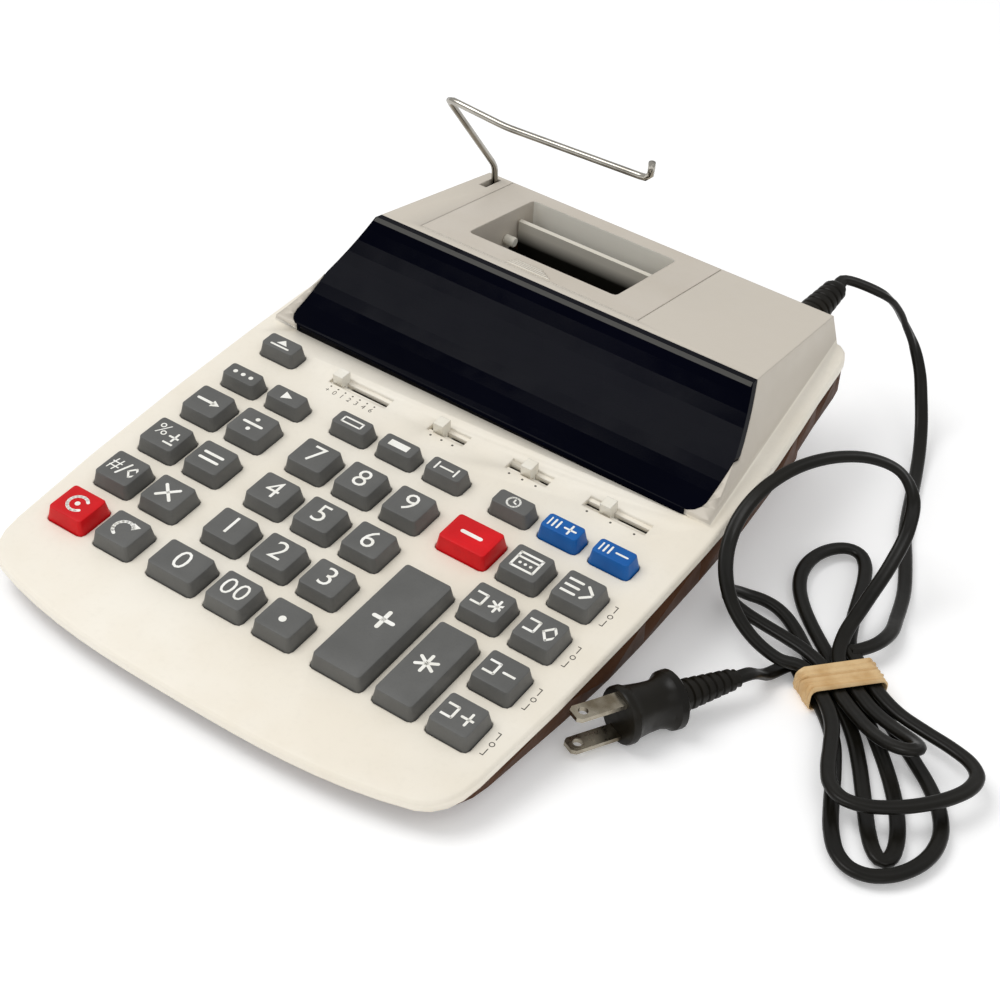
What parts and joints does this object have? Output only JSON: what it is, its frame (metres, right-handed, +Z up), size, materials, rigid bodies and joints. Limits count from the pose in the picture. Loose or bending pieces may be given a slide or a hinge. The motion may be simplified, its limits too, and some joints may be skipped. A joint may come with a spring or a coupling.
{
  "type": "desktop printing calculator",
  "caption": "Wedge-shaped desktop printing calculator with sloping key deck, dark display window, printer cover, wire paper arm and banded mains cord.",
  "frame": {"origin": "on the desk under the middle of the calculator's body, cord left out", "axes": "+Z up, +X to the user's right, +Y from the user towards the back"},
  "size_m": [0.2969, 0.3123, 0.1128],
  "materials": {
    "case_cream": "fine matt",
    "case_brown": "fine matt",
    "lens": "polished",
    "tube": "glass tube",
    "cover": "fine matt",
    "chrome": "polished wire",
    "frame_black": "matt",
    "roller": "matt",
    "ink": "inked felt",
    "board": "coated board",
    "cord_black": "satin",
    "steel": "plain",
    "band": "matt",
    "plug_black": "satin",
    "key_grey": "satin",
    "key_red": "satin",
    "key_blue": "satin"
  },
  "bodies": {
    "case": {"upper_case": "case_cream", "bottom_case": "case_brown", "display_lens": "lens", "display_tube": "tube", "printer_frame": "frame_black", "key_board": "board", "strain_relief": "cord_black", "transformer": "steel", "power_cord": "cord_black", "cord_hank": "cord_black", "rubber_band": "band", "plug_lead": "cord_black", "plug": "plug_black"},
    "printer_cover": {"printer_cover": "cover"},
    "paper_arm": {"paper_arm": "chrome"},
    "feed_roller": {"feed_roller": "roller"},
    "ink_roller": {"ink_roller": "ink"},
    "key_sign": {"key_sign": "key_grey"},
    "key_number": {"key_number": "key_grey"},
    "key_times": {"key_times": "key_grey"},
    "key_percent": {"key_percent": "key_grey"},
    "key_equals": {"key_equals": "key_grey"},
    "key_shift": {"key_shift": "key_grey"},
    "key_divide": {"key_divide": "key_grey"},
    "key_mode": {"key_mode": "key_grey"},
    "key_start": {"key_start": "key_grey"},
    "key_feed": {"key_feed": "key_grey"},
    "key_0": {"key_0": "key_grey"},
    "key_00": {"key_00": "key_grey"},
    "key_point": {"key_point": "key_grey"},
    "key_1": {"key_1": "key_grey"},
    "key_2": {"key_2": "key_grey"},
    "key_3": {"key_3": "key_grey"},
    "key_4": {"key_4": "key_grey"},
    "key_5": {"key_5": "key_grey"},
    "key_6": {"key_6": "key_grey"},
    "key_7": {"key_7": "key_grey"},
    "key_8": {"key_8": "key_grey"},
    "key_9": {"key_9": "key_grey"},
    "key_cost": {"key_cost": "key_grey"},
    "key_sell": {"key_sell": "key_grey"},
    "key_margin": {"key_margin": "key_grey"},
    "key_plus": {"key_plus": "key_grey"},
    "key_clock": {"key_clock": "key_grey"},
    "key_total": {"key_total": "key_grey"},
    "key_memory_total": {"key_memory_total": "key_grey"},
    "key_calendar": {"key_calendar": "key_grey"},
    "key_memory_plus": {"key_memory_plus": "key_grey"},
    "key_memory_minus": {"key_memory_minus": "key_grey"},
    "key_memory_subtotal": {"key_memory_subtotal": "key_grey"},
    "key_grand_total": {"key_grand_total": "key_grey"},
    "key_clear": {"key_clear": "key_red"},
    "key_minus": {"key_minus": "key_red"},
    "key_tax_plus": {"key_tax_plus": "key_blue"},
    "key_tax_minus": {"key_tax_minus": "key_blue"},
    "switch_decimal": {"switch_decimal": "case_cream"},
    "switch_rounding": {"switch_rounding": "case_cream"},
    "switch_total": {"switch_total": "case_cream"},
    "switch_power": {"switch_power": "case_cream"}
  },
  "joints": [
    {"name": "press_sign", "type": "slide", "parent": "case", "child": "key_sign", "axis": [0, 0.1392, -0.9903], "range_m": [0, 0.003], "stiffness_N_per_m": 150, "springref_m": -0.003},
    {"name": "press_number", "type": "slide", "parent": "case", "child": "key_number", "axis": [0, 0.1392, -0.9903], "range_m": [0, 0.003], "stiffness_N_per_m": 150, "springref_m": -0.003},
    {"name": "press_times", "type": "slide", "parent": "case", "child": "key_times", "axis": [0, 0.1392, -0.9903], "range_m": [0, 0.003], "stiffness_N_per_m": 150, "springref_m": -0.003},
    {"name": "press_percent", "type": "slide", "parent": "case", "child": "key_percent", "axis": [0, 0.1392, -0.9903], "range_m": [0, 0.003], "stiffness_N_per_m": 150, "springref_m": -0.003},
    {"name": "press_equals", "type": "slide", "parent": "case", "child": "key_equals", "axis": [0, 0.1392, -0.9903], "range_m": [0, 0.003], "stiffness_N_per_m": 150, "springref_m": -0.003},
    {"name": "press_shift", "type": "slide", "parent": "case", "child": "key_shift", "axis": [0, 0.1392, -0.9903], "range_m": [0, 0.003], "stiffness_N_per_m": 150, "springref_m": -0.003},
    {"name": "press_divide", "type": "slide", "parent": "case", "child": "key_divide", "axis": [0, 0.1392, -0.9903], "range_m": [0, 0.003], "stiffness_N_per_m": 150, "springref_m": -0.003},
    {"name": "press_mode", "type": "slide", "parent": "case", "child": "key_mode", "axis": [0, 0.1392, -0.9903], "range_m": [0, 0.003], "stiffness_N_per_m": 150, "springref_m": -0.003},
    {"name": "press_start", "type": "slide", "parent": "case", "child": "key_start", "axis": [0, 0.1392, -0.9903], "range_m": [0, 0.003], "stiffness_N_per_m": 150, "springref_m": -0.003},
    {"name": "press_feed", "type": "slide", "parent": "case", "child": "key_feed", "axis": [0, 0.1392, -0.9903], "range_m": [0, 0.003], "stiffness_N_per_m": 150, "springref_m": -0.003},
    {"name": "press_0", "type": "slide", "parent": "case", "child": "key_0", "axis": [0, 0.1392, -0.9903], "range_m": [0, 0.003], "stiffness_N_per_m": 150, "springref_m": -0.003},
    {"name": "press_00", "type": "slide", "parent": "case", "child": "key_00", "axis": [0, 0.1392, -0.9903], "range_m": [0, 0.003], "stiffness_N_per_m": 150, "springref_m": -0.003},
    {"name": "press_point", "type": "slide", "parent": "case", "child": "key_point", "axis": [0, 0.1392, -0.9903], "range_m": [0, 0.003], "stiffness_N_per_m": 150, "springref_m": -0.003},
    {"name": "press_1", "type": "slide", "parent": "case", "child": "key_1", "axis": [0, 0.1392, -0.9903], "range_m": [0, 0.003], "stiffness_N_per_m": 150, "springref_m": -0.003},
    {"name": "press_2", "type": "slide", "parent": "case", "child": "key_2", "axis": [0, 0.1392, -0.9903], "range_m": [0, 0.003], "stiffness_N_per_m": 150, "springref_m": -0.003},
    {"name": "press_3", "type": "slide", "parent": "case", "child": "key_3", "axis": [0, 0.1392, -0.9903], "range_m": [0, 0.003], "stiffness_N_per_m": 150, "springref_m": -0.003},
    {"name": "press_4", "type": "slide", "parent": "case", "child": "key_4", "axis": [0, 0.1392, -0.9903], "range_m": [0, 0.003], "stiffness_N_per_m": 150, "springref_m": -0.003},
    {"name": "press_5", "type": "slide", "parent": "case", "child": "key_5", "axis": [0, 0.1392, -0.9903], "range_m": [0, 0.003], "stiffness_N_per_m": 150, "springref_m": -0.003},
    {"name": "press_6", "type": "slide", "parent": "case", "child": "key_6", "axis": [0, 0.1392, -0.9903], "range_m": [0, 0.003], "stiffness_N_per_m": 150, "springref_m": -0.003},
    {"name": "press_7", "type": "slide", "parent": "case", "child": "key_7", "axis": [0, 0.1392, -0.9903], "range_m": [0, 0.003], "stiffness_N_per_m": 150, "springref_m": -0.003},
    {"name": "press_8", "type": "slide", "parent": "case", "child": "key_8", "axis": [0, 0.1392, -0.9903], "range_m": [0, 0.003], "stiffness_N_per_m": 150, "springref_m": -0.003},
    {"name": "press_9", "type": "slide", "parent": "case", "child": "key_9", "axis": [0, 0.1392, -0.9903], "range_m": [0, 0.003], "stiffness_N_per_m": 150, "springref_m": -0.003},
    {"name": "press_cost", "type": "slide", "parent": "case", "child": "key_cost", "axis": [0, 0.1392, -0.9903], "range_m": [0, 0.003], "stiffness_N_per_m": 150, "springref_m": -0.003},
    {"name": "press_sell", "type": "slide", "parent": "case", "child": "key_sell", "axis": [0, 0.1392, -0.9903], "range_m": [0, 0.003], "stiffness_N_per_m": 150, "springref_m": -0.003},
    {"name": "press_margin", "type": "slide", "parent": "case", "child": "key_margin", "axis": [0, 0.1392, -0.9903], "range_m": [0, 0.003], "stiffness_N_per_m": 150, "springref_m": -0.003},
    {"name": "press_plus", "type": "slide", "parent": "case", "child": "key_plus", "axis": [0, 0.1392, -0.9903], "range_m": [0, 0.003], "stiffness_N_per_m": 150, "springref_m": -0.003},
    {"name": "press_clock", "type": "slide", "parent": "case", "child": "key_clock", "axis": [0, 0.1392, -0.9903], "range_m": [0, 0.003], "stiffness_N_per_m": 150, "springref_m": -0.003},
    {"name": "press_total", "type": "slide", "parent": "case", "child": "key_total", "axis": [0, 0.1392, -0.9903], "range_m": [0, 0.003], "stiffness_N_per_m": 150, "springref_m": -0.003},
    {"name": "press_memory_total", "type": "slide", "parent": "case", "child": "key_memory_total", "axis": [0, 0.1392, -0.9903], "range_m": [0, 0.003], "stiffness_N_per_m": 150, "springref_m": -0.003},
    {"name": "press_calendar", "type": "slide", "parent": "case", "child": "key_calendar", "axis": [0, 0.1392, -0.9903], "range_m": [0, 0.003], "stiffness_N_per_m": 150, "springref_m": -0.003},
    {"name": "press_memory_plus", "type": "slide", "parent": "case", "child": "key_memory_plus", "axis": [0, 0.1392, -0.9903], "range_m": [0, 0.003], "stiffness_N_per_m": 150, "springref_m": -0.003},
    {"name": "press_memory_minus", "type": "slide", "parent": "case", "child": "key_memory_minus", "axis": [0, 0.1392, -0.9903], "range_m": [0, 0.003], "stiffness_N_per_m": 150, "springref_m": -0.003},
    {"name": "press_memory_subtotal", "type": "slide", "parent": "case", "child": "key_memory_subtotal", "axis": [0, 0.1392, -0.9903], "range_m": [0, 0.003], "stiffness_N_per_m": 150, "springref_m": -0.003},
    {"name": "press_grand_total", "type": "slide", "parent": "case", "child": "key_grand_total", "axis": [0, 0.1392, -0.9903], "range_m": [0, 0.003], "stiffness_N_per_m": 150, "springref_m": -0.003},
    {"name": "press_clear", "type": "slide", "parent": "case", "child": "key_clear", "axis": [0, 0.1392, -0.9903], "range_m": [0, 0.003], "stiffness_N_per_m": 150, "springref_m": -0.003},
    {"name": "press_minus", "type": "slide", "parent": "case", "child": "key_minus", "axis": [0, 0.1392, -0.9903], "range_m": [0, 0.003], "stiffness_N_per_m": 150, "springref_m": -0.003},
    {"name": "press_tax_plus", "type": "slide", "parent": "case", "child": "key_tax_plus", "axis": [0, 0.1392, -0.9903], "range_m": [0, 0.003], "stiffness_N_per_m": 150, "springref_m": -0.003},
    {"name": "press_tax_minus", "type": "slide", "parent": "case", "child": "key_tax_minus", "axis": [0, 0.1392, -0.9903], "range_m": [0, 0.003], "stiffness_N_per_m": 150, "springref_m": -0.003},
    {"name": "slide_decimal", "type": "slide", "parent": "case", "child": "switch_decimal", "axis": [1, 0, 0], "range_m": [-0.0011, 0.0183]},
    {"name": "slide_rounding", "type": "slide", "parent": "case", "child": "switch_rounding", "axis": [1, 0, 0], "range_m": [-0.0022, 0.0082]},
    {"name": "slide_total", "type": "slide", "parent": "case", "child": "switch_total", "axis": [1, 0, 0], "range_m": [-0.0058, 0.0061]},
    {"name": "slide_power", "type": "slide", "parent": "case", "child": "switch_power", "axis": [1, 0, 0], "range_m": [-0.0061, 0.0133]},
    {"name": "cover_hinge", "type": "hinge", "parent": "case", "child": "printer_cover", "pos_m": [0, 0.12647, 0.05282], "axis": [-1, 0, 0], "range_deg": [0, 34]},
    {"name": "arm_hinge", "type": "hinge", "parent": "case", "child": "paper_arm", "pos_m": [0, 0.1251, 0.05182], "axis": [-1, 0, 0], "range_deg": [-31, 0]},
    {"name": "feed_roller_turn", "type": "hinge", "parent": "case", "child": "feed_roller", "pos_m": [0, 0.10408, 0.03614], "axis": [1, 0, 0], "continuous": true},
    {"name": "ink_roller_turn", "type": "hinge", "parent": "case", "child": "ink_roller", "pos_m": [0, 0.08887, 0.03299], "axis": [1, 0, 0], "continuous": true}
  ]
}
